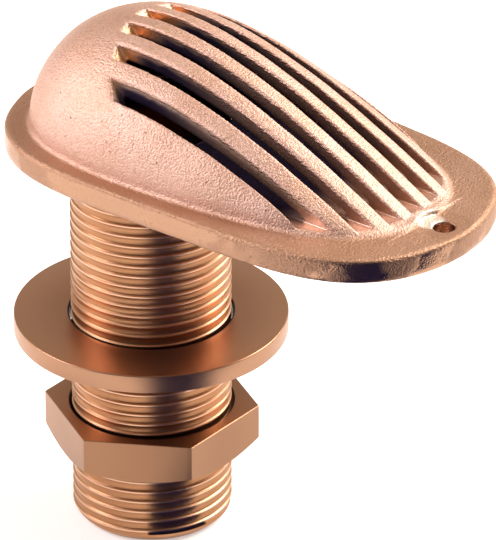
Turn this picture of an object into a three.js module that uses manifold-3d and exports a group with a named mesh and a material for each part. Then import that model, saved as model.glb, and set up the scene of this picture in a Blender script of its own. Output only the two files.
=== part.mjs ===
// Bronze scoop-strainer through-hull fitting with a threaded tail, a loose
// backing washer and a hex nut. Millimetres, +Z up, +X towards the scoop's toe.
// The tail's axis is the Z axis and the flange's sealing face lies in z = 0.
import * as THREE from "three";
import { mergeVertices } from "three/addons/utils/BufferGeometryUtils.js";
import Module from "manifold-3d";

const wasm = await Module();
wasm.setup();
const { Manifold, Mesh } = wasm;

// ---------------------------------------------------------------- dimensions
// 1 inch parallel pipe thread (G1) on the tail
const THREAD_D = 33.25;          // over the crests
const THREAD_PITCH = 2.309;
const THREAD_DEPTH = 1.25;       // crest flat to root
const CREST_FLAT = 0.2;          // share of the pitch
const TAIL_WALL = 3.92;          // crest to bore
const TAIL_LENGTH = 86.3;        // below the sealing face
const TAIL_CHAMFER = 1.7;
const TAIL_FLARE = 0.8;          // 45 degree flare at the bore's lower end
const TAIL_STAND_UP = 0.5;       // how far the tail stands above the flange

// hollow dome, placed by how far it reaches behind the tail's axis
const DOME_REAR = 23.6;
const DOME_LENGTH = 95.0;
const DOME_HALF_W = 26.05;
const DOME_H = 24.3;             // crown above the flange's top face
const DOME_RISE = 0.47;          // exponent of the steep rear
const DOME_FALL = 1.08;          // exponent of the long front slope
const DOME_ROUND = 1.9;          // exponent of the cross section
const DOME_TAPER = -0.13;        // plan form, narrower towards the toe
const DOME_FULLNESS = 0.33;      // plan form, fuller than an ellipse at its ends
const DOME_WALL = 3.2;
const DOME_FILLET = 2.6;
const TOE_SOLID = 11.0;          // solid metal ahead of the chamber

// flange: egg-shaped plate that stands out all round the dome
const MARGIN_SIDE = 4.35;
const MARGIN_REAR = 4.8;
const MARGIN_TOE = 9.4;
const FLANGE_T = 5.2;
const FLANGE_EDGE_R = 1.0;
const FLANGE_DRAFT = 0.35;       // undercut at the rim's lower edge
const FLANGE_TAPER = -0.04;
const FLANGE_FULLNESS = 0.49;

// lengthwise slots
const SLOT_COUNT = 7;
const SLOT_PITCH = 6.35;
const SLOT_W = 3.1;
const SLOT_FLOOR = 1.0;          // above the flange's top face
const SLOT_REAR_X = -2.4;        // rear end of the middle slot
const SLOT_REAR_BOW = 6.4;       // how much further forward the outer slots start
const SLOT_RAMP = 43;            // degrees, ramp at the rear end of a slot

// screw hole at the toe, with its ground seat
const SCREW_INSET = 5.4;         // from the flange's tip
const SCREW_D = 4.5;
const SEAT_D = 10.4;
const SEAT_DEPTH = 0.35;

// loose ring and nut, and where they rest on the tail
const WASHER_OD = 56.9;
const WASHER_CLEARANCE = 0.65;  // radial, over the thread's crests
const WASHER_T = 4.0;
const WASHER_EDGE = 0.35;
const WASHER_DROP = 39.7;        // top face below the sealing face
const NUT_WALL = 2.875;          // from the thread's crests to a flat
const NUT_T = 9.2;
const NUT_CHAMFER = 2.0;         // height of the cone on the underside
const NUT_DROP = 17.2;           // top face below the washer
const NUT_CORNER_DEG = 30.7;     // bearing of one corner from +X
const NUT_CLEARANCE = 0.26;      // radial, thread to thread
const LOCK_GAP = 0.3;            // between the casting and the tail it is locked to

// facets
const TURN = 24;                 // round one turn of thread
const ROUND = 48;                // round bores and holes
const PLAN = 80;                 // round the flange

// sizes that follow from the ones above
const CREST_R = THREAD_D / 2;
const BORE_R = CREST_R - TAIL_WALL;
const DOME_X0 = -DOME_REAR;
const DOME_X1 = DOME_LENGTH - DOME_REAR;
const FLANGE_X0 = DOME_X0 - MARGIN_REAR;
const FLANGE_X1 = DOME_X1 + MARGIN_TOE;
const FLANGE_HALF_W = DOME_HALF_W + MARGIN_SIDE;
const SCREW_X = FLANGE_X1 - SCREW_INSET;
const WASHER_TOP = -WASHER_DROP;
const WASHER_BASE = WASHER_TOP - WASHER_T;
const NUT_TOP = WASHER_BASE - NUT_DROP;
const NUT_BASE = NUT_TOP - NUT_T;
const NUT_FLAT_R = CREST_R + NUT_WALL;
const NUT_CORNER_R = NUT_FLAT_R / Math.cos(Math.PI / 6);

// ------------------------------------------------------------------- helpers
const rad = THREE.MathUtils.degToRad;
const clamp = THREE.MathUtils.clamp;
const OVER = 1;                  // how far a cutter runs past what it cuts

// a solid ready to be cut and joined, from a closed three.js geometry
function solid(geometry) {
  geometry.deleteAttribute("normal");
  geometry.deleteAttribute("uv");
  const merged = mergeVertices(geometry, 1e-5);
  const corners = merged.index.array;
  const triangles = [];
  for (let i = 0; i < corners.length; i += 3) {
    const [a, b, c] = corners.slice(i, i + 3);
    if (a !== b && b !== c && c !== a) triangles.push([a, b, c]);
  }
  const build = (faces) => new Manifold(new Mesh({
    numProp: 3,
    vertProperties: new Float32Array(merged.attributes.position.array),
    triVerts: new Uint32Array(faces.flat()),
  }));
  const made = build(triangles);
  return made.volume() > 0 ? made : build(triangles.map(([a, b, c]) => [a, c, b]));
}

function indexed(points, faces) {
  const g = new THREE.BufferGeometry();
  g.setAttribute("position", new THREE.Float32BufferAttribute(points.flat(), 3));
  g.setIndex(faces.flat());
  return g;
}

// closed solid through a stack of loops with equal point counts; each end is
// a fan round the loop's middle point
function stack(loops) {
  const n = loops[0].length;
  const points = loops.flat();
  const faces = [];
  for (let k = 0; k + 1 < loops.length; k++)
    for (let i = 0; i < n; i++) {
      const a = k * n + i;
      const b = k * n + ((i + 1) % n);
      faces.push([a, b, b + n], [a, b + n, a + n]);
    }
  for (const [k, up] of [[0, false], [loops.length - 1, true]]) {
    const mid = [0, 1, 2].map((c) => loops[k].reduce((s, p) => s + p[c], 0) / n);
    const m = points.push(mid) - 1;
    for (let i = 0; i < n; i++) {
      const a = k * n + i;
      const b = k * n + ((i + 1) % n);
      faces.push(up ? [a, b, m] : [b, a, m]);
    }
  }
  return solid(indexed(points, faces));
}

// solid of revolution about Z from [radius, z] pairs that start and end on the axis
function turned(profile, facets = ROUND) {
  const points = profile.map(([r, z]) => new THREE.Vector2(r, z));
  return solid(new THREE.LatheGeometry(points, facets).rotateX(Math.PI / 2));
}
const disc = (r, z0, z1, facets) => turned([[0, z0], [r, z0], [r, z1], [0, z1]], facets);

// ------------------------------------------------------------ plan outlines
const FLANGE_MID = (FLANGE_X0 + FLANGE_X1) / 2;
const FLANGE_HALF_L = (FLANGE_X1 - FLANGE_X0) / 2;
function flangePoint(t) {
  const c = Math.cos(t);
  return [FLANGE_MID + FLANGE_HALF_L * c,
    FLANGE_HALF_W * Math.sin(t) * (1 + FLANGE_TAPER * c + FLANGE_FULLNESS * c * c)];
}
const DOME_MID = (DOME_X0 + DOME_X1) / 2;
const DOME_HALF_L = DOME_LENGTH / 2;
function domeWidth(x) {
  const c = clamp((x - DOME_MID) / DOME_HALF_L, -1, 1);
  return DOME_HALF_W * Math.sqrt(1 - c * c) * (1 + DOME_TAPER * c + DOME_FULLNESS * c * c);
}
function footPoint(t) {
  const x = DOME_MID + DOME_HALF_L * Math.cos(t);
  return [x, Math.sign(Math.sin(t)) * domeWidth(x)];
}
// a point of an outline moved outwards by d along its own normal
function offset(outline, t, d) {
  const [x0, y0] = outline(t - 1e-3);
  const [x1, y1] = outline(t + 1e-3);
  const [x, y] = outline(t);
  const l = Math.hypot(x1 - x0, y1 - y0);
  return [x + (d * (y1 - y0)) / l, y - (d * (x1 - x0)) / l];
}
// height of the dome's outside above the flange's top face
function domeHeight(x, y) {
  const s = clamp((x - DOME_X0) / DOME_LENGTH, 0, 1);
  const peak = DOME_RISE / (DOME_RISE + DOME_FALL);
  const ridge = DOME_H * (s / peak) ** DOME_RISE * ((1 - s) / (1 - peak)) ** DOME_FALL;
  const q = Math.abs(y) / Math.max(domeWidth(x), 1e-6);
  return q >= 1 ? 0 : ridge * Math.sqrt(1 - q ** DOME_ROUND);
}

// ---------------------------------------------------------- strainer casting
// flange plate with its rounded rim and the fillet up to the dome's foot
function flangePlate() {
  const ts = Array.from({ length: PLAN }, (_, i) => ((2 * i + 1) * Math.PI) / PLAN);
  const rim = (d, z) => ts.map((t) => [...offset(flangePoint, t, d), z]);
  const e = FLANGE_EDGE_R;
  const loops = [rim(-FLANGE_DRAFT, 0), rim(0, 0.4), rim(0, FLANGE_T - e),
    rim(-0.3 * e, FLANGE_T - 0.3 * e), rim(-e, FLANGE_T)];
  // the fillet dies out where the toe runs down to the flange
  const size = (t) => DOME_FILLET * clamp((0.93 - Math.cos(t)) / 0.5, 0.1, 1);
  for (const a of [0, 32, 62, 88].map(rad))
    loops.push(ts.map((t) => {
      const [x, y] = offset(footPoint, t, size(t) * (1 - Math.sin(a)) - 0.1);
      return [x, y, FLANGE_T + 0.02 + 0.85 * size(t) * (1 - Math.cos(a))];
    }));
  return stack(loops);
}

// dome shape lofted through half-oval sections along X, from the height base
// above the flange's top face; inset draws it in all round by a wall, and
// then both ends close in a curve
function domeSolid(x0, x1, inset, base, stations, arc) {
  const END_CURVE = 12;
  const loops = [];
  for (let i = 0; i <= stations; i++) {
    const turn = (Math.PI * (i + 0.25)) / (stations + 0.5);
    const x = (x0 + x1) / 2 - ((x1 - x0) / 2) * Math.cos(turn);
    const end = inset ? Math.min(1, Math.sqrt(((x - x0) * (x1 - x)) / END_CURVE)) : 1;
    const w = Math.max(0.4, domeWidth(x) - inset) * Math.max(end, 0.5);
    const h = Math.max(base + 0.3, domeHeight(x, 0) - inset);
    const loop = [];
    for (let j = 0; j <= arc; j++) {
      const q = Math.sin(Math.PI * (j / arc - 0.5));
      const z = base + (h - base) * end * Math.sqrt(Math.max(0, 1 - Math.abs(q) ** DOME_ROUND));
      loop.push([x, w * q, FLANGE_T + Math.max(z, base + 0.02)]);
    }
    loop.push([x, w, FLANGE_T + base - 0.6], [x, -w, FLANGE_T + base - 0.6]);
    loops.push(loop);
  }
  return stack(loops);
}
const dome = () => domeSolid(DOME_X0, DOME_X1, 0, 0, 28, 22);
// the hollow under the dome, from the slot floor up to one wall below the skin
const chamber = () => domeSolid(DOME_X0 + DOME_WALL, DOME_X1 - TOE_SOLID, DOME_WALL, SLOT_FLOOR, 18, 14);

// one cutter per slot: a ramp down at the rear, then a floor that runs out past the toe
function slots() {
  const half = (SLOT_COUNT - 1) / 2;
  const slope = Math.tan(rad(SLOT_RAMP));
  const above = 8;
  return Manifold.union(Array.from({ length: SLOT_COUNT }, (_, i) => {
    const y = (i - half) * SLOT_PITCH;
    const x = SLOT_REAR_X + SLOT_REAR_BOW * (Math.abs(i - half) / half) ** 2;
    const skin = FLANGE_T + domeHeight(x, Math.max(0, Math.abs(y) - SLOT_W / 2));
    const floor = FLANGE_T + SLOT_FLOOR;
    const side = new THREE.Shape();
    side.moveTo(x - above / slope, skin + above);
    side.lineTo(x + (skin - floor) / slope, floor);
    side.lineTo(FLANGE_X1, floor);
    side.lineTo(FLANGE_X1, skin + above);
    side.closePath();
    const cutter = new THREE.ExtrudeGeometry(side, { depth: SLOT_W, bevelEnabled: false });
    return solid(cutter.rotateX(Math.PI / 2).translate(0, y + SLOT_W / 2, 0));
  }));
}

function strainerCasting() {
  const tailHole = disc(CREST_R + LOCK_GAP, -OVER, FLANGE_T + SLOT_FLOOR + OVER);
  const screwHole = disc(SCREW_D / 2, -OVER, FLANGE_T + OVER, 24).translate([SCREW_X, 0, 0]);
  const seat = disc(SEAT_D / 2, FLANGE_T - SEAT_DEPTH, FLANGE_T + DOME_H, 32).translate([SCREW_X, 0, 0]);
  const cuts = [chamber(), slots(), tailHole, screwHole, seat];
  return cuts.reduce((metal, cut) => metal.subtract(cut), flangePlate().add(dome()));
}

// --------------------------------------------------------------- pipe thread
// right-hand helical rod between two heights; grow widens it for the nut's bore.
// Each row of points climbs one pitch in a turn, so its last facet closes on
// the row of the next turn up.
function threadedRod(z0, z1, grow) {
  const crest = CREST_R + grow;
  const profile = [[-CREST_FLAT / 2, crest], [CREST_FLAT / 2, crest], [0.5, crest - THREAD_DEPTH]];
  const rows = [];
  for (let k = Math.floor(z0 / THREAD_PITCH) - 2; k < Math.ceil(z1 / THREAD_PITCH) + 2; k++)
    for (const [share, r] of profile) rows.push([(k + share) * THREAD_PITCH, r]);
  const points = rows.flatMap(([z, r]) => Array.from({ length: TURN }, (_, j) => {
    const a = (2 * Math.PI * j) / TURN;
    return [r * Math.cos(a), r * Math.sin(a), z + (THREAD_PITCH * j) / TURN];
  }));
  const at = (row, j) => (j < TURN ? row * TURN + j : (row + profile.length) * TURN);
  const faces = [];
  for (let row = 0; row + 1 < rows.length; row++)
    for (let j = 0; j < TURN; j++) {
      if (j === TURN - 1 && row + profile.length + 1 >= rows.length) continue;
      const a = at(row, j);
      const d = at(row + 1, j + 1);
      faces.push([a, at(row, j + 1), d], [a, d, at(row + 1, j)]);
    }
  // what is left open at both ends is closed with fans to the axis
  const edges = new Set();
  for (const [a, b, c] of faces)
    for (const [u, v] of [[a, b], [b, c], [c, a]])
      if (!edges.delete(`${v} ${u}`)) edges.add(`${u} ${v}`);
  const low = points.push([0, 0, z0 - 2 * THREAD_PITCH]) - 1;
  const high = points.push([0, 0, z1 + 2 * THREAD_PITCH]) - 1;
  for (const edge of edges) {
    const [u, v] = edge.split(" ").map(Number);
    faces.push([v, u, points[u][2] < (z0 + z1) / 2 ? low : high]);
  }
  return solid(indexed(points, faces));
}

function threadedTail() {
  const top = FLANGE_T + TAIL_STAND_UP;
  const end = -TAIL_LENGTH;
  const outside = turned([[0, end], [CREST_R - TAIL_CHAMFER, end], [CREST_R + 0.2, end + TAIL_CHAMFER],
    [CREST_R + 0.2, -LOCK_GAP], [0, -LOCK_GAP]]);
  const inside = turned([[0, end - OVER], [BORE_R + TAIL_FLARE + OVER, end - OVER],
    [BORE_R, end + TAIL_FLARE], [BORE_R, top + OVER], [0, top + OVER]]);
  // plain where it is locked into the flange
  const shank = disc(CREST_R - 0.02, -2 * LOCK_GAP, top);
  return threadedRod(end, 2, 0).intersect(outside).add(shank).subtract(inside);
}

// ----------------------------------------------------- washer and hex nut
function backingWasher() {
  const r = WASHER_OD / 2;
  const e = WASHER_EDGE;
  const body = turned([[0, WASHER_BASE], [r - e, WASHER_BASE], [r, WASHER_BASE + e],
    [r, WASHER_TOP - e], [r - e, WASHER_TOP], [0, WASHER_TOP]], 60);
  return body.subtract(disc(CREST_R + WASHER_CLEARANCE, WASHER_BASE - OVER, WASHER_TOP + OVER));
}
function hexNut() {
  const hexagon = new THREE.Shape(Array.from({ length: 6 }, (_, i) => {
    const a = rad(NUT_CORNER_DEG + 60 * i);
    return new THREE.Vector2(NUT_CORNER_R * Math.cos(a), NUT_CORNER_R * Math.sin(a));
  }));
  const prism = new THREE.ExtrudeGeometry(hexagon, { depth: NUT_T, bevelEnabled: false });
  // coned underside, a light chamfer on top and at the thread's mouth
  const outer = NUT_CORNER_R + 0.6;
  const cone = turned([[0, NUT_BASE - 0.01], [NUT_FLAT_R - 0.3, NUT_BASE - 0.01], [outer, NUT_BASE + NUT_CHAMFER],
    [outer, NUT_TOP - 0.5], [NUT_CORNER_R - 0.35, NUT_TOP + 0.01], [0, NUT_TOP + 0.01]], 72);
  const mouth = turned([[0, NUT_TOP - 1.2], [CREST_R - 1, NUT_TOP - 1.2], [CREST_R + 0.7, NUT_TOP + 0.3],
    [0, NUT_TOP + 0.3]]);
  return solid(prism.translate(0, 0, NUT_BASE)).intersect(cone)
    .subtract(threadedRod(NUT_BASE - OVER, NUT_TOP + OVER, NUT_CLEARANCE)).subtract(mouth);
}

// ------------------------------------------------------------------- object
const bronze = (name, color, metalness, roughness) =>
  new THREE.MeshStandardMaterial({ name, color, metalness, roughness });
const CAST = bronze("cast_bronze", 0xc89a7a, 0.9, 0.55);
const TURNED = bronze("turned_bronze", 0xb98655, 0.95, 0.3);
const NUT = bronze("nut_bronze", 0xb08058, 0.95, 0.38);

function part(name, metal, material) {
  const { numProp, numVert, vertProperties, triVerts } = metal.getMesh();
  const points = Array.from({ length: numVert }, (_, i) =>
    [0, 1, 2].map((c) => vertProperties[i * numProp + c]));
  const mesh = new THREE.Mesh(indexed(points, Array.from(triVerts)), material);
  mesh.geometry.computeVertexNormals();
  mesh.name = name;
  return mesh;
}

const fitting = new THREE.Group();
fitting.name = "thru_hull_fitting";
fitting.add(
  part("strainer_casting", strainerCasting(), CAST),
  part("threaded_tail", threadedTail(), TURNED),
  part("backing_washer", backingWasher(), TURNED),
  part("hex_nut", hexNut(), NUT),
);
export default fitting;
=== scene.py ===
"""A bronze scoop strainer thru hull fitting: slotted casting, threaded tail, washer and nut."""
import math

import bmesh
import bpy
import numpy as np
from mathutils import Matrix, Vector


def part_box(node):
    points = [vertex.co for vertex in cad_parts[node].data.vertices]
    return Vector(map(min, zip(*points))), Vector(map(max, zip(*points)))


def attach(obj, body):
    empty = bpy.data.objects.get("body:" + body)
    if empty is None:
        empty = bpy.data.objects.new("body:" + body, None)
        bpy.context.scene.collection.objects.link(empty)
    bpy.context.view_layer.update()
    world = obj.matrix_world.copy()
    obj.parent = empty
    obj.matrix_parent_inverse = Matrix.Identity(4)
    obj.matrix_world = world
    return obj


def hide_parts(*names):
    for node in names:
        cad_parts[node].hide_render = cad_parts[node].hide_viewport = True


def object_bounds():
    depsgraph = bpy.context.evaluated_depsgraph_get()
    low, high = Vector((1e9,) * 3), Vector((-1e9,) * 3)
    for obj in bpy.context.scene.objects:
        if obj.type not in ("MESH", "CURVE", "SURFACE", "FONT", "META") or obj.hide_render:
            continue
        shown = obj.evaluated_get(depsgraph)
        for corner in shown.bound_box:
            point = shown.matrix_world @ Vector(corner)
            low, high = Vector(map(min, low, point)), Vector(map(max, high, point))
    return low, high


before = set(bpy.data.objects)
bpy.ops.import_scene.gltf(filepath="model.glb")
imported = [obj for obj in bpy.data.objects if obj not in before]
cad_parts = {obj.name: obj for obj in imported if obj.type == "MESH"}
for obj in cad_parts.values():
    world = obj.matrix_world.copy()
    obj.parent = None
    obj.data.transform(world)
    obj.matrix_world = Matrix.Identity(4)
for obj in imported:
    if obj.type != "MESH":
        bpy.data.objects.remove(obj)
cad_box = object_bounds()

# ---------------------------------------------------------------- camera
# A long lens one and a half metres away, looking down on the strainer from
# the side of its toe.
AZIMUTH = math.radians(38.7)
PITCH = math.radians(28.7)
DISTANCE = 1.5
SENSOR = 36.0
LENS = 490.0
AIM_RIGHT, AIM_UP = 0.0200, -0.0268

right = np.array([math.cos(AZIMUTH), math.sin(AZIMUTH), 0.0])
back = np.array([math.sin(AZIMUTH) * math.cos(PITCH), -math.cos(AZIMUTH) * math.cos(PITCH), math.sin(PITCH)])
up = np.cross(back, right)
aim = AIM_RIGHT * right + AIM_UP * up

camera_data = bpy.data.cameras.new("camera")
camera_data.sensor_width = SENSOR
camera_data.lens = LENS
camera_data.clip_end = 10.0
camera = bpy.data.objects.new("camera", camera_data)
bpy.context.scene.collection.objects.link(camera)
camera.location = aim + DISTANCE * back
camera.rotation_euler = (math.pi / 2 - PITCH, 0.0, AZIMUTH)
bpy.context.scene.camera = camera


# ------------------------------------------------------ strainer casting
# The egg-shaped flange and the hollow slotted dome are one sand casting in
# bronze. It is worked out as a field of depth below its skin, so that foundry
# fillets, rounded slot edges and the uneven sand finish come from the field.
FLANGE_THICKNESS, FLANGE_EDGE = 5.2, 1.1
MOULD_INSET, FOOT_FLARE, FOOT_HEIGHT = 0.25, 0.35, 0.6
DOME_X0, DOME_X1 = -23.6, 71.4
DOME_HALF_WIDTH = 26.05
CROWN_ROOM = 0.15
DOME_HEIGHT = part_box("strainer_casting")[1][2] * 1000 - FLANGE_THICKNESS - CROWN_ROOM
REAR_POWER, TOE_POWER, SECTION_POWER = 0.47, 1.08, 1.9
TOE_STEP = 1.1
DOME_FILLET = 1.3
DOME_WALL = 3.2
CHAMBER_END = DOME_X1 - 11.0
CHAMBER_CORNER, CHAMBER_NOSE, CHAMBER_EDGE = 1.0, 2.0, 0.3
SLOT_COUNT, SLOT_PITCH, SLOT_WIDTH = 7, 6.35, 3.1
SLOT_FLOOR, SLOT_SLOPE = 1.0, math.radians(43)
SLOT_START, SLOT_START_BOW = -2.4, 6.4
RAMP_CORNER, SLOT_CORNER, SLOT_EDGE = 0.5, 0.25, 0.45
SCREW_X, SCREW_RADIUS, SEAT_RADIUS, SEAT_CUT = 75.4, 2.25, 5.2, 0.02
SEAT_EDGE, SCREW_EDGE = 0.5, 0.35
TAIL_HOLE_RADIUS = 16.925
LUMP_HEIGHT, LUMP_SIZE, LUMP_SEED = 0.035, 2.4, 11
FACED_BAND = 0.8


def length(*parts):
    """Root of the sum of the squares."""
    return np.sqrt(sum(p * p for p in parts))


def even(field, step):
    """A rough field over its own slope, which makes it a distance near its zero level."""
    slope = length(*np.gradient(field, step))
    return field / np.maximum(slope, 1e-3)


def blend_low(a, b, r):
    """The lower of two fields, with a fillet of about r where they meet."""
    h = np.clip(0.5 + 0.5 * (b - a) / r, 0, 1)
    return b + (a - b) * h - r * h * (1 - h)


def blend_high(a, b, r):
    """The higher of two fields, with an edge rounded by about r."""
    return -blend_low(-a, -b, r)


def drift(shape, step, size, seed):
    """Smooth random field of unit spread: white noise through a Gaussian of the given size."""
    noise = np.fft.rfftn(np.random.default_rng(seed).standard_normal(shape))
    waves = np.meshgrid(*[np.fft.fftfreq(n, step) for n in shape[:-1]],
                        np.fft.rfftfreq(shape[-1], step), indexing="ij", sparse=True)
    noise *= np.exp(-2 * (math.pi * size) ** 2 * sum(w * w for w in waves))
    smooth = np.fft.irfftn(noise, s=shape)
    return smooth / smooth.std()


def casting_field(step):
    """Distance to the casting's skin in mm, negative inside the metal, on a regular grid.

    Flange: an ellipse whose width is multiplied by 1 - 0.04c + 0.49c^2, c from
    -1 at the rear to 1 at the toe, made into a plate with rounded edges. The
    0.9985 brings its widest place to the width of the box.
    Dome: sections |y/width|^1.9 + (z/ridge)^2 = 1, with the ridge s^0.47 (1-s)^1.08
    scaled to the crown, s from 0 at the rear to 1 at the toe, and no lower than
    the step at the toe.
    The chamber is the dome drawn in by one wall. A slot is a slab between two
    walls, above a ramp and a floor, and starts further forward away from the middle.
    The sand finish's lumps fade out towards the faced underside.
    Also returned: the dome's own field, the distance to the nearest slot's
    surface, and the grid's first corner.
    """
    low, high = (np.array(v) * 1000 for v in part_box("strainer_casting"))
    x, y, z = [np.arange(low[i] - 2.5 * step, high[i] + 3 * step, step) for i in range(3)]
    y -= y.mean() - (low[1] + high[1]) / 2
    X, Y = np.meshgrid(x, y, indexing="ij")

    half = (high[0] - low[0]) / 2
    c = (X - (high[0] + low[0]) / 2) / half
    egg = length(c, Y / (high[1] * 0.9985 * (1 - 0.04 * c + 0.49 * c * c)))
    outline = even(egg - 1, step)[..., None]
    flare = FOOT_FLARE * np.clip((FOOT_HEIGHT - z) / FOOT_HEIGHT, 0, 1)
    side = outline + FLANGE_EDGE - flare + MOULD_INSET
    face = np.abs(z - FLANGE_THICKNESS / 2) - FLANGE_THICKNESS / 2 + FLANGE_EDGE
    rounding = length(np.maximum(side, 0), np.maximum(face, 0))
    plate = rounding + np.minimum(np.maximum(side, face), 0) - FLANGE_EDGE

    s = np.clip((x - DOME_X0) / (DOME_X1 - DOME_X0), 1e-4, 1 - 1e-4)
    peak = REAR_POWER / (REAR_POWER + TOE_POWER)
    ridge = DOME_HEIGHT * (s / peak) ** REAR_POWER * ((1 - s) / (1 - peak)) ** TOE_POWER
    ridge = np.maximum(ridge, TOE_STEP)
    c = 2 * s - 1
    width = DOME_HALF_WIDTH * np.sqrt(1 - c * c) * (1 - 0.13 * c + 0.33 * c * c)
    rise = np.maximum(z - FLANGE_THICKNESS, 0)
    round_y = (np.abs(y)[None] / width[:, None]) ** SECTION_POWER
    oval = np.sqrt(round_y[..., None] + (rise[None, None] / ridge[:, None, None]) ** 2)
    beyond = np.maximum(np.maximum(DOME_X0 - x, x - DOME_X1), 0)[:, None, None]
    dome = np.clip(even(np.minimum(oval, 3) - 1, step), -8, 8) + beyond
    body = blend_low(plate, np.maximum(dome, FLANGE_THICKNESS / 2 - z), DOME_FILLET)

    chamber = blend_high(dome + DOME_WALL, FLANGE_THICKNESS + SLOT_FLOOR - z, CHAMBER_CORNER)
    chamber = blend_high(chamber, (x - CHAMBER_END)[:, None, None], CHAMBER_NOSE)
    body = blend_high(body, -chamber, CHAMBER_EDGE)

    lumps = LUMP_HEIGHT * drift(body.shape, step, LUMP_SIZE, LUMP_SEED)
    off_sealing_face = np.clip((z - FACED_BAND) / FACED_BAND, 0, 1)
    body = body + lumps * off_sealing_face

    cut = np.full(body.shape, 9.0, np.float32)
    outermost = SLOT_COUNT // 2
    for i in range(-outermost, outermost + 1):
        start = SLOT_START + SLOT_START_BOW * (i / outermost) ** 2
        off_middle = max(0, abs(i) * SLOT_PITCH - SLOT_WIDTH / 2) / np.interp(start, x, width)
        skin = np.interp(start, x, ridge) * math.sqrt(1 - off_middle ** SECTION_POWER)
        drop = FLANGE_THICKNESS + skin - z
        ramp = drop * math.cos(SLOT_SLOPE) - (x[:, None, None] - start) * math.sin(SLOT_SLOPE)
        bottom = blend_high(ramp, FLANGE_THICKNESS + SLOT_FLOOR - z, RAMP_CORNER)
        walls = (np.abs(y - i * SLOT_PITCH) - SLOT_WIDTH / 2)[:, None]
        slot = blend_high(walls, bottom, SLOT_CORNER)
        cut = np.minimum(cut, np.abs(slot))
        body = blend_high(body, -slot, SLOT_EDGE)

    axis = length(X, Y)[..., None]
    body = np.maximum(body, np.minimum(TAIL_HOLE_RADIUS - axis, FLANGE_THICKNESS + 3 - z))
    screw = length(X - SCREW_X, Y)[..., None]
    seat = np.maximum(screw - SEAT_RADIUS, FLANGE_THICKNESS - SEAT_CUT - z)
    body = blend_high(body, -seat, SEAT_EDGE)
    body = blend_high(body, SCREW_RADIUS - screw, SCREW_EDGE)
    return body, dome, cut, np.array([x[0], y[0], z[0]])


def skin_of(field, origin, step):
    """Quads on the zero level of a field: one vertex in each cell that the level
    crosses, at the mean of its crossings, and one face over each crossed grid edge."""
    inside = field < 0
    cells = tuple(n - 1 for n in field.shape)
    count = np.zeros(cells, np.float32)
    total = np.zeros(cells + (3,), np.float32)
    crossed = []
    for axis in range(3):
        near = [slice(None)] * 3
        far = [slice(None)] * 3
        near[axis], far[axis] = slice(None, -1), slice(1, None)
        a, b = field[tuple(near)], field[tuple(far)]
        cross = inside[tuple(near)] != inside[tuple(far)]
        crossed.append((cross, inside[tuple(near)]))
        where = np.where(cross, a / np.where(cross, a - b, 1), 0)
        others = [i for i in range(3) if i != axis]
        for j in (0, 1):
            for k in (0, 1):
                pick = [slice(None)] * 3
                pick[others[0]] = slice(j, cells[others[0]] + j)
                pick[others[1]] = slice(k, cells[others[1]] + k)
                hit = cross[tuple(pick)]
                count += hit
                total[..., axis] += where[tuple(pick)]
                total[..., others[0]] += j * hit
                total[..., others[1]] += k * hit
    used = np.argwhere(count > 0)
    at = tuple(used.T)
    points = origin + (used + total[at] / count[at][:, None]) * step
    number = np.full(cells, -1)
    number[at] = np.arange(len(used))
    quads = []
    for axis, (cross, inward) in enumerate(crossed):
        e = np.argwhere(cross)
        b, c = np.eye(3, dtype=int)[(axis + 1) % 3], np.eye(3, dtype=int)[(axis + 2) % 3]
        ring = np.stack([number[tuple((e - d).T)] for d in (b + c, c, 0 * c, b)], axis=1)
        leaving = inward[tuple(e.T)]
        quads.append(np.where(leaving[:, None], ring, ring[:, ::-1]))
    return points, np.concatenate(quads)


def piece(name, points, faces, body, node, material):
    """A new mesh object from points in mm, smooth, riding on a CAD body in place of a CAD node."""
    mesh = bpy.data.meshes.new(name)
    mesh.from_pydata((points / 1000).tolist(), [], faces.tolist())
    mesh.polygons.foreach_set("use_smooth", np.ones(len(mesh.polygons), bool))
    mesh.materials.append(material)
    made = bpy.data.objects.new(name, mesh)
    bpy.context.scene.collection.objects.link(made)
    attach(made, body)
    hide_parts(node)
    return made


class Wire:
    """A shader socket. Arithmetic on it adds Math nodes, and node() adds any other node."""

    def __init__(self, tree, socket=None):
        self.tree = tree
        self.socket = socket

    def node(self, kind, settings=None, inputs=None, output=0):
        made = self.tree.nodes.new(kind)
        for key, value in (settings or {}).items():
            setattr(made, key, value)
        for key, value in (inputs or {}).items():
            if isinstance(value, Wire):
                self.tree.links.new(value.socket, made.inputs[key])
            else:
                made.inputs[key].default_value = value
        return Wire(self.tree, made.outputs[output])

    def math(self, operation, a, b=0.0):
        return self.node("ShaderNodeMath", {"operation": operation}, {0: a, 1: b})

    def __add__(self, other):
        return self.math("ADD", self, other)

    def __radd__(self, other):
        return self.math("ADD", other, self)

    def __sub__(self, other):
        return self.math("SUBTRACT", self, other)

    def __rsub__(self, other):
        return self.math("SUBTRACT", other, self)

    def __mul__(self, other):
        return self.math("MULTIPLY", self, other)

    def noise(self, size, detail=2.0, roughness=0.5):
        """Noise from 0 to 1 whose grain is about the given size in mm."""
        return self.node("ShaderNodeTexNoise", {}, {
            "Vector": self, "Scale": 1000 / size, "Detail": detail, "Roughness": roughness})

    def step(self, low, high):
        """0 below low, 1 above high and smooth between."""
        return self.node("ShaderNodeMapRange", {"interpolation_type": "SMOOTHSTEP"}, {
            "Value": self, "From Min": low, "From Max": high})

    def mix(self, colour, other):
        """Between two colours, by this value."""
        return self.node("ShaderNodeMix", {"data_type": "RGBA"}, {0: self, 6: colour, 7: other}, 2)


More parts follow.
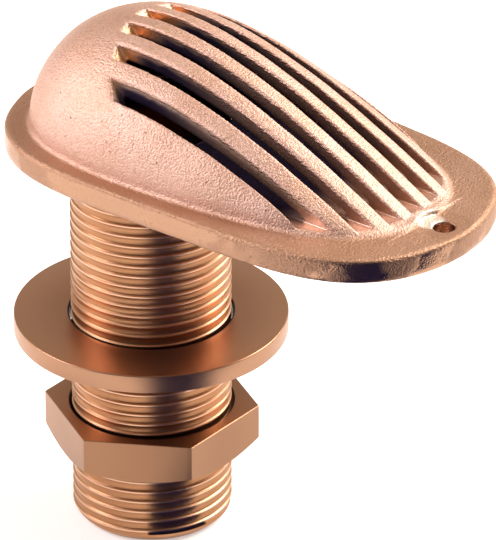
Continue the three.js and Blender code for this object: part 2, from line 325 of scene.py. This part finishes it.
def metal(name):
    """A new material: its wire in Object coordinates, their parts in mm and its metallic shader."""
    material = bpy.data.materials.new(name)
    material.use_nodes = True
    tree = material.node_tree
    shader = tree.nodes["Principled BSDF"]
    shader.inputs["Metallic"].default_value = 1.0
    place = Wire(tree).node("ShaderNodeTexCoord", output="Object")
    parts = place.node("ShaderNodeSeparateXYZ", {}, {0: place}).socket.node.outputs
    x, y, z = (Wire(tree, parts[k]) * 1000 for k in range(3))
    return material, place, (x, y, z), shader


def finish_metal(place, shader, colour, roughness, height, depth):
    """Links colour, roughness and a height in units of depth (mm) to the shader."""
    bump = place.node("ShaderNodeBump", {}, {"Height": height, "Distance": depth / 1000, "Strength": 1.0})
    for socket, wire in (("Base Color", colour), ("Roughness", roughness), ("Normal", bump)):
        place.tree.links.new(wire.socket, shader.inputs[socket])


SAND_PINK, SAND_TAN = (0.83, 0.56, 0.46, 1), (0.75, 0.47, 0.35, 1)
FLANGE_TAN = (0.46, 0.255, 0.15, 1)
GRAIN_BROWN, PIT_BROWN = (0.42, 0.21, 0.12, 1), (0.26, 0.12, 0.07, 1)
# The slot walls' pale colour is partly milled metal and partly a painted reflection, and their orange at the
# rear ends is a painted glow.
MILLED_PALE_AND_REFLECTION, PAINTED_REAR_GLOW = (0.76, 0.52, 0.40, 1), (0.84, 0.48, 0.24, 1)
# Dark navy painted shade for the chamber and the slots.
PAINTED_SHADE_NAVY = (0.045, 0.032, 0.070, 1)
# A near-white painted highlight for the ledge behind the screw.
PAINTED_HIGHLIGHT_PATCH = (0.97, 0.86, 0.76, 1)
GRAIN_DEPTH = 0.24
# Centre and radii of the near-white highlight painted behind the screw.
HIGHLIGHT_X, HIGHLIGHT_INNER, HIGHLIGHT_OUTER = SCREW_X - 3.4, 2.4, 3.5


def cast_bronze():
    """Sand grain with small pits, pink on the skin and tan on the flange. The slots' walls are
    milled and painted pale as a reflection, with a painted orange glow at their rear ends. The
    chamber and the slots' rear halves are painted dark as shade, the rim is worn smooth in patches,
    and a near-white highlight is painted on the ledge behind the screw."""
    material, place, (x, y, z), shader = metal("cast_bronze_rough")
    depth = place.node("ShaderNodeAttribute", {"attribute_name": "depth"}, {}, "Fac")
    cut = place.node("ShaderNodeAttribute", {"attribute_name": "cut"}, {}, "Fac")
    patches = place.noise(13, 3.0).step(0.35, 0.65)
    forward = x.step(3, 9)
    # Painted shade, darker the deeper below the dome's skin: in the slots here, and in the chamber as
    # hollow.
    shade = depth.step(0.3, 1.7) * forward * (1 - x.step(14, 44) * 0.9)
    hollow = depth.step(DOME_WALL - 1.0, DOME_WALL + 0.1) * (
        1 - x.step(CHAMBER_END - 14, CHAMBER_END - 4) * 0.8)
    over_flange = z - FLANGE_THICKNESS
    inside = place.math("MAXIMUM", shade, hollow) * over_flange.step(0.2, 0.8)
    # The slot walls' mask: their milled finish, plus a pale painted reflection and a painted glow at the
    # rear ends.
    milled = cut.step(0.2, 0.9) * depth.step(0.3, 0.9)
    flat = 1 - over_flange.step(-0.3, 0.8)
    rim = (1 - over_flange.step(-0.9, -0.3)) * patches.step(0.1, 0.6)
    # A round near-white painted highlight on the ledge behind the screw.
    behind_hole = x - HIGHLIGHT_X
    off_patch = place.math("SQRT", behind_hole * behind_hole + y * y)
    highlight_patch = (1 - off_patch.step(HIGHLIGHT_INNER, HIGHLIGHT_OUTER)) * over_flange.step(-0.6, -0.3)

    grain = place.noise(0.45, 2.0, 0.6)
    speck = place.noise(1.9, 2.0)
    cells = place.node("ShaderNodeTexVoronoi", {}, {"Vector": place, "Scale": 640.0})
    pits = (1 - cells.step(0.08, 0.22)) * speck.step(0.56, 0.64)
    colour = (patches * 0.6).mix(SAND_PINK, SAND_TAN)
    colour = (flat * 0.85).mix(colour, FLANGE_TAN)
    colour = ((1 - grain.step(0.34, 0.56)) * 0.32).mix(colour, GRAIN_BROWN)
    colour = (pits * 0.5).mix(colour, PIT_BROWN)
    # Slot walls pale, partly milled metal and partly painted reflection.
    colour = (milled * 0.8).mix(colour, MILLED_PALE_AND_REFLECTION)
    # Painted orange glow on the slot walls' rear ends.
    colour = (milled * (1 - forward) * 0.9).mix(colour, PAINTED_REAR_GLOW)
    # Dark navy painted shade in the slots and the chamber.
    colour = inside.mix(colour, PAINTED_SHADE_NAVY)
    # Near-white painted highlight behind the screw.
    colour = (highlight_patch * 0.9).mix(colour, PAINTED_HIGHLIGHT_PATCH)
    sand = 0.42 + grain * 0.20 + pits * 0.2
    roughness = sand - milled * 0.14 + inside * 0.25 - highlight_patch * 0.05 - rim * 0.3
    smoothed = (1 - milled * 0.75) * (1 - highlight_patch * 0.3) * (1 - rim * 0.7)
    height = (grain + speck * 0.4 - pits * 0.5) * smoothed
    finish_metal(place, shader, colour, roughness, height, GRAIN_DEPTH)
    return material


STEP = 0.34
QUADS_KEPT = 95000
CUT_REACH = 0.5
field, dome, cut, corner = casting_field(STEP)
points, quads = skin_of(field, corner, STEP)
casting = piece("strainer_cast", points, quads, "strainer", "strainer_casting", cast_bronze())
nearest = tuple(np.rint((points - corner) / STEP).astype(int).T)
for name, values in (("depth", -dome[nearest]), ("cut", np.clip(1 - cut[nearest] / CUT_REACH, 0, 1))):
    layer = casting.data.attributes.new(name, "FLOAT", "POINT")
    layer.data.foreach_set("value", values.astype(np.float32))
thin = casting.modifiers.new("thin", "DECIMATE")
thin.ratio = min(1.0, QUADS_KEPT / len(quads))


# --------------------------------------------------------- threaded tail
# A turned bronze tube with a parallel pipe thread cut along it, locked into
# the casting's flange. The thread is a profile carried along a helix.
PITCH_MM = 2.309
CREST = 16.62
ROOT = CREST - 0.5
BORE = 12.7
TAIL_END, TAIL_TOP = (v[2] * 1000 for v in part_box("threaded_tail"))
THREAD_TOP = -0.35
CHAMFER, BORE_FLARE, TOP_BREAK = 1.7, 0.8, 0.3
# The thread's light colour is worn crest metal with a painted highlight, and its deep colour is painted
# shade in the roots.
THREAD_CREST_WEAR_AND_HIGHLIGHT, THREAD_ROOT_SHADE = (0.84, 0.54, 0.36, 1), (0.41, 0.18, 0.075, 1)
SHADOWED_BRONZE = (0.03, 0.02, 0.03, 1)
TOOL_LINE_DEPTH, TOOL_LINES_PER_MM = 0.02, 9.0


def thread_profile():
    """(height, depth) over one pitch: a narrow crest, short flanks and a wide worn root."""
    share = np.array([-0.14, -0.10, -0.07, 0.0, 0.07, 0.10, 0.14,
                      0.18, 0.27, 0.39, 0.50, 0.61, 0.73, 0.82])
    depth = np.array([0.60, 0.24, 0.04, 0.0, 0.04, 0.24, 0.60,
                      0.74, 0.86, 0.96, 1.0, 0.96, 0.86, 0.74])
    return share, depth


def helix_rows(z0, z1, crest, root, start=0.0, sides=160):
    """Radius, height and angle of a thread on a grid: rows climb one pitch in a turn, columns go round.

    Radius is crest less the profile's share of the depth; height is the row's
    own height plus the pitch times the angle's share of a turn.
    """
    share, depth = thread_profile()
    first = math.floor(z0 / PITCH_MM) - 2
    last = math.ceil(z1 / PITCH_MM) + 1
    z = (np.arange(first, last)[:, None] + share).ravel() * PITCH_MM
    r = np.tile(crest - (crest - root) * depth, last - first)
    a = start + np.linspace(0, 2 * math.pi, sides + 1)
    return r[:, None] + 0 * a, z[:, None] + PITCH_MM * a / (2 * math.pi), a + 0 * z[:, None]


def sheet_of(r, z, a):
    """Points and quads of a grid given in radius, height and angle, rows upwards."""
    rows, columns = r.shape
    points = np.stack([r * np.cos(a), r * np.sin(a), z], axis=-1).reshape(-1, 3)
    i = np.arange(rows * columns).reshape(rows, columns)
    quads = np.stack([i[:-1, :-1], i[:-1, 1:], i[1:, 1:], i[1:, :-1]], axis=-1).reshape(-1, 4)
    return points, quads


def merge(made, distance=2e-6):
    """Joins vertices that lie on each other, drops the faces that this flattens and
    marks edges over 35 degrees as sharp."""
    bm = bmesh.new()
    bm.from_mesh(made.data)
    bmesh.ops.remove_doubles(bm, verts=bm.verts, dist=distance)
    bmesh.ops.dissolve_degenerate(bm, edges=bm.edges, dist=distance)
    bmesh.ops.recalc_face_normals(bm, faces=bm.faces)
    bm.to_mesh(made.data)
    bm.free()
    made.data.set_sharp_from_angle(angle=math.radians(35))


def turned_bronze(name, light, deep, light_radius, deep_radius, mouth=0.0):
    """Bright turned bronze with fine tool lines round the axis. Its colour goes from deep to
    light between two radii, on the thread worn crests with a painted highlight and painted shade
    in the roots, and it is painted dark as shade inside the casting and inside a mouth's radius."""
    material, place, (x, y, z), shader = metal(name)
    radius = place.math("SQRT", x * x + y * y)
    # Lighter towards the light radius: on the thread, a painted highlight on the crests and painted shade in
    # the roots.
    bright = radius.step(deep_radius, light_radius)
    section = place.node("ShaderNodeCombineXYZ", {}, {0: radius, 1: z})
    lines = place.node("ShaderNodeTexNoise", {"noise_dimensions": "2D"}, {
        "Vector": section, "Scale": TOOL_LINES_PER_MM, "Detail": 2.0})
    smear = place.noise(6, 3.0)
    colour = (bright * 0.75 + smear * 0.15 + lines * 0.10).mix(deep, light)
    in_mouth = 1 - radius.step(mouth, mouth + 0.2)
    covered = place.math("MAXIMUM", z.step(-0.5, 2.0), in_mouth)
    colour = covered.mix(colour, SHADOWED_BRONZE)
    roughness = 0.29 + smear * 0.08
    finish_metal(place, shader, colour, roughness, lines, TOOL_LINE_DEPTH)
    return material


r, z, a = helix_rows(TAIL_END, 0.0, CREST, ROOT)
z = np.clip(z, TAIL_END, THREAD_TOP)
cone = CREST - CHAMFER + (z - TAIL_END)
r = np.where(z >= THREAD_TOP, CREST, np.minimum(r, cone))
turn = a[:1]
bottom_r = np.array([[BORE], [BORE], [BORE + BORE_FLARE]]) + 0 * turn
bottom_z = np.array([[TAIL_TOP], [TAIL_END + BORE_FLARE], [TAIL_END]]) + 0 * turn
top_r = np.array([[CREST], [CREST - TOP_BREAK], [BORE + TOP_BREAK], [BORE]]) + 0 * turn
top_z = np.array([[TAIL_TOP - TOP_BREAK], [TAIL_TOP], [TAIL_TOP], [TAIL_TOP - TOP_BREAK]]) + 0 * turn
r = np.concatenate([bottom_r, r, top_r])
z = np.concatenate([bottom_z, z, top_z])
r[-1], z[-1] = r[0], z[0]
a = np.repeat(turn, len(r), axis=0)
points, quads = sheet_of(r, z, a)
thread_finish = turned_bronze("turned_bronze_thread", THREAD_CREST_WEAR_AND_HIGHLIGHT, THREAD_ROOT_SHADE, CREST - 0.05, ROOT + 0.18)
tail = piece("threaded_tail_fine", points, quads, "strainer", "threaded_tail", thread_finish)
merge(tail)


# -------------------------------------------------------- backing washer
# A flat ring sawn and faced from bronze, loose on the thread, with its edges
# broken by a file.
low, high = (np.array(v) * 1000 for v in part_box("backing_washer"))
WASHER_OUTER, WASHER_INNER, WASHER_EDGE = high[0], CREST + 0.35, 0.3
WASHER_MOUTH = WASHER_INNER + 0.28
WASHER_BRIGHT, WASHER_DEEP = (0.49, 0.27, 0.165, 1), (0.37, 0.19, 0.115, 1)


def broken_edge_ring(inner, outer, base, top, edge):
    """Radius and height of a closed ring's profile, a quarter round of the edge radius at each corner."""
    quarter = np.linspace(0, math.pi / 2, 5)
    corners = ((outer - edge, base + edge, -math.pi / 2), (outer - edge, top - edge, 0),
               (inner + edge, top - edge, math.pi / 2), (inner + edge, base + edge, math.pi))
    rows = [np.stack([x + edge * np.cos(t + quarter), z + edge * np.sin(t + quarter)], 1)
            for x, z, t in corners]
    return np.concatenate(rows + [rows[0][:1]])


rows = broken_edge_ring(WASHER_INNER, WASHER_OUTER, low[2], high[2], WASHER_EDGE)
turn = np.linspace(0, 2 * math.pi, 193)
points, quads = sheet_of(rows[:, :1] + 0 * turn, rows[:, 1:] + 0 * turn, turn + 0 * rows[:, :1])
washer_finish = turned_bronze("turned_bronze_ring", WASHER_BRIGHT, WASHER_DEEP,
                              WASHER_OUTER - 0.5, WASHER_MOUTH - 0.07, WASHER_MOUTH)
washer = piece("backing_washer_fine", points, quads, "washer", "backing_washer", washer_finish)
merge(washer)


# --------------------------------------------------------------- hex nut
# Cast bronze bar faced on both sides, its underside coned so that the flats
# end in arcs, with the tail's thread cut through it.
low, high = (np.array(v) * 1000 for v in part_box("hex_nut"))
NUT_BASE, NUT_TOP = low[2], high[2]
NUT_FLAT = 19.5
NUT_CORNER = math.radians(30.7)
NUT_CREST = CREST + 0.26
NUT_MOUTH = CREST + 0.7
CONE_HEIGHT, CONE_INSET, CONE_MARGIN, NUT_BREAK = 2.0, 0.3, 0.9, 0.12
NUT_BRIGHT, NUT_DEEP = (0.39, 0.21, 0.12, 1), (0.31, 0.155, 0.085, 1)


def hex_radius(a, flat, corner, sharpness=600):
    """Distance from the axis to the hexagon at an angle, its corners rounded by a high power mean."""
    facing = [np.maximum(np.cos(a - corner - math.pi / 6 - k * math.pi / 3), 0) for k in range(6)]
    return flat * sum(f ** sharpness for f in facing) ** (-1 / sharpness)


r, z, a = helix_rows(NUT_BASE, NUT_TOP, NUT_CREST, NUT_CREST - CREST + ROOT, NUT_CORNER, 216)
z = np.clip(z, NUT_BASE, NUT_TOP)
r = np.maximum(r, NUT_MOUTH - np.minimum(z - NUT_BASE, NUT_TOP - z))
turn = a[:1]
hexagon = hex_radius(turn, NUT_FLAT, NUT_CORNER)
cone_foot = NUT_FLAT - CONE_INSET
cone_slope = CONE_HEIGHT / (NUT_FLAT / math.cos(math.pi / 6) + CONE_MARGIN - NUT_FLAT)
rise = np.maximum(hexagon - cone_foot, 0) * cone_slope
level = 0 * turn
outside_r = np.concatenate([level + cone_foot, hexagon, hexagon, hexagon - NUT_BREAK])
outside_z = np.concatenate([level + NUT_BASE, NUT_BASE + rise, level + NUT_TOP - NUT_BREAK, level + NUT_TOP])
r = np.concatenate([r[::-1], outside_r, r[-1:]])
z = np.concatenate([z[::-1], outside_z, z[-1:]])
points, quads = sheet_of(r, z, np.repeat(turn, len(r), axis=0))
nut_finish = turned_bronze("nut_bronze_satin", NUT_BRIGHT, NUT_DEEP,
                           NUT_FLAT + 2.45, CREST - 0.44, NUT_MOUTH - 0.12)
nut = piece("hex_nut_fine", points, quads, "nut", "hex_nut", nut_finish)
merge(nut)


# ---------------------------------------------------- floor and lights
# A pale floor under the tail's end, a soft key light behind on the right, a
# weaker one on the left and a warm sky that is dark low in front. A dark card
# just above the floor is seen only in the metal and gives the tail its stripe.
FLOOR_Z = cad_box[0][2] - 0.0002
FLOOR_REACH = 4
FLOOR_PAINT, FLOOR_GLOW = (0.92, 0.92, 0.92, 1), 0.45
CARD_HEIGHT = 0.002
CARD_BLUE, CARD_GLOW = (0.012, 0.013, 0.055, 1), 1.0
CARD_CORNERS = ((0, 0), (0.112, 0.112), (0.3, 0.08), (3.0, 0.8), (3.0, 3.0), (-1.0, 3.0), (-0.03, 0.2),
                (-0.008, 0.17))
SKY_DARK, SKY_WARM = (0.02, 0.022, 0.05, 1), (0.62, 0.54, 0.45, 1)
LAMP_DISTANCE = 1.0


def stage_sheet(name, height, corners, colour, glow):
    """A flat sheet of plain matt paint on the stage, its corners in metres to the right and forwards."""
    mesh = bpy.data.meshes.new(name)
    mesh.from_pydata([tuple(i * right + j * toward + height * sky) for i, j in corners], [],
                     [tuple(range(len(corners)))])
    sheet = bpy.data.objects.new(name, mesh)
    bpy.context.scene.collection.objects.link(sheet)
    paint = bpy.data.materials.new(name)
    paint.use_nodes = True
    shader = paint.node_tree.nodes["Principled BSDF"]
    shader.inputs["Base Color"].default_value = colour
    shader.inputs["Roughness"].default_value = 0.95
    shader.inputs["Specular IOR Level"].default_value = 0.0
    shader.inputs["Emission Color"].default_value = colour
    shader.inputs["Emission Strength"].default_value = glow
    mesh.materials.append(paint)
    return sheet


toward = np.array([math.sin(AZIMUTH), -math.cos(AZIMUTH), 0.0])
sky = np.array([0.0, 0.0, 1.0])
floor_corners = [(FLOOR_REACH * i, FLOOR_REACH * j) for i, j in ((-1, -1), (1, -1), (1, 1), (-1, 1))]
stage_sheet("floor", FLOOR_Z, floor_corners, FLOOR_PAINT, FLOOR_GLOW)
card = stage_sheet("dark_card", FLOOR_Z + CARD_HEIGHT, CARD_CORNERS, CARD_BLUE, CARD_GLOW)
card.visible_camera = False
card.visible_diffuse = False
card.visible_shadow = False

world = bpy.data.worlds.new("studio")
world.use_nodes = True
sky_wire = Wire(world.node_tree).node("ShaderNodeTexCoord", output="Generated")
overhead = sky_wire.node("ShaderNodeVectorMath", {"operation": "DOT_PRODUCT"},
                         {0: sky_wire, 1: tuple(0.8 * sky - 0.6 * toward)}, "Value")
background = world.node_tree.nodes["Background"]
sky_colour = overhead.step(-0.3, 0.75).mix(SKY_DARK, SKY_WARM)
world.node_tree.links.new(sky_colour.socket, background.inputs["Color"])
background.inputs["Strength"].default_value = 1.0
bpy.context.scene.world = world
bpy.context.scene.view_settings.view_transform = "Standard"

target = np.array([0.015, 0.0, -0.01])
for name, way, size, watts, colour in (
        ("key", 0.68 * right - 0.28 * toward + 0.62 * sky, 0.6, 11.0, (1.0, 0.96, 0.91)),
        ("left", -0.82 * right + 0.02 * toward + 0.50 * sky, 0.5, 6.5, (1.0, 0.93, 0.97))):
    light = bpy.data.lights.new(name, "AREA")
    light.size = size
    light.energy = watts
    light.color = colour
    lamp = bpy.data.objects.new(name, light)
    bpy.context.scene.collection.objects.link(lamp)
    way = way / np.linalg.norm(way)
    lamp.location = target + LAMP_DISTANCE * way
    lamp.rotation_euler = (math.acos(way[2]), 0.0, math.atan2(way[0], -way[1]))
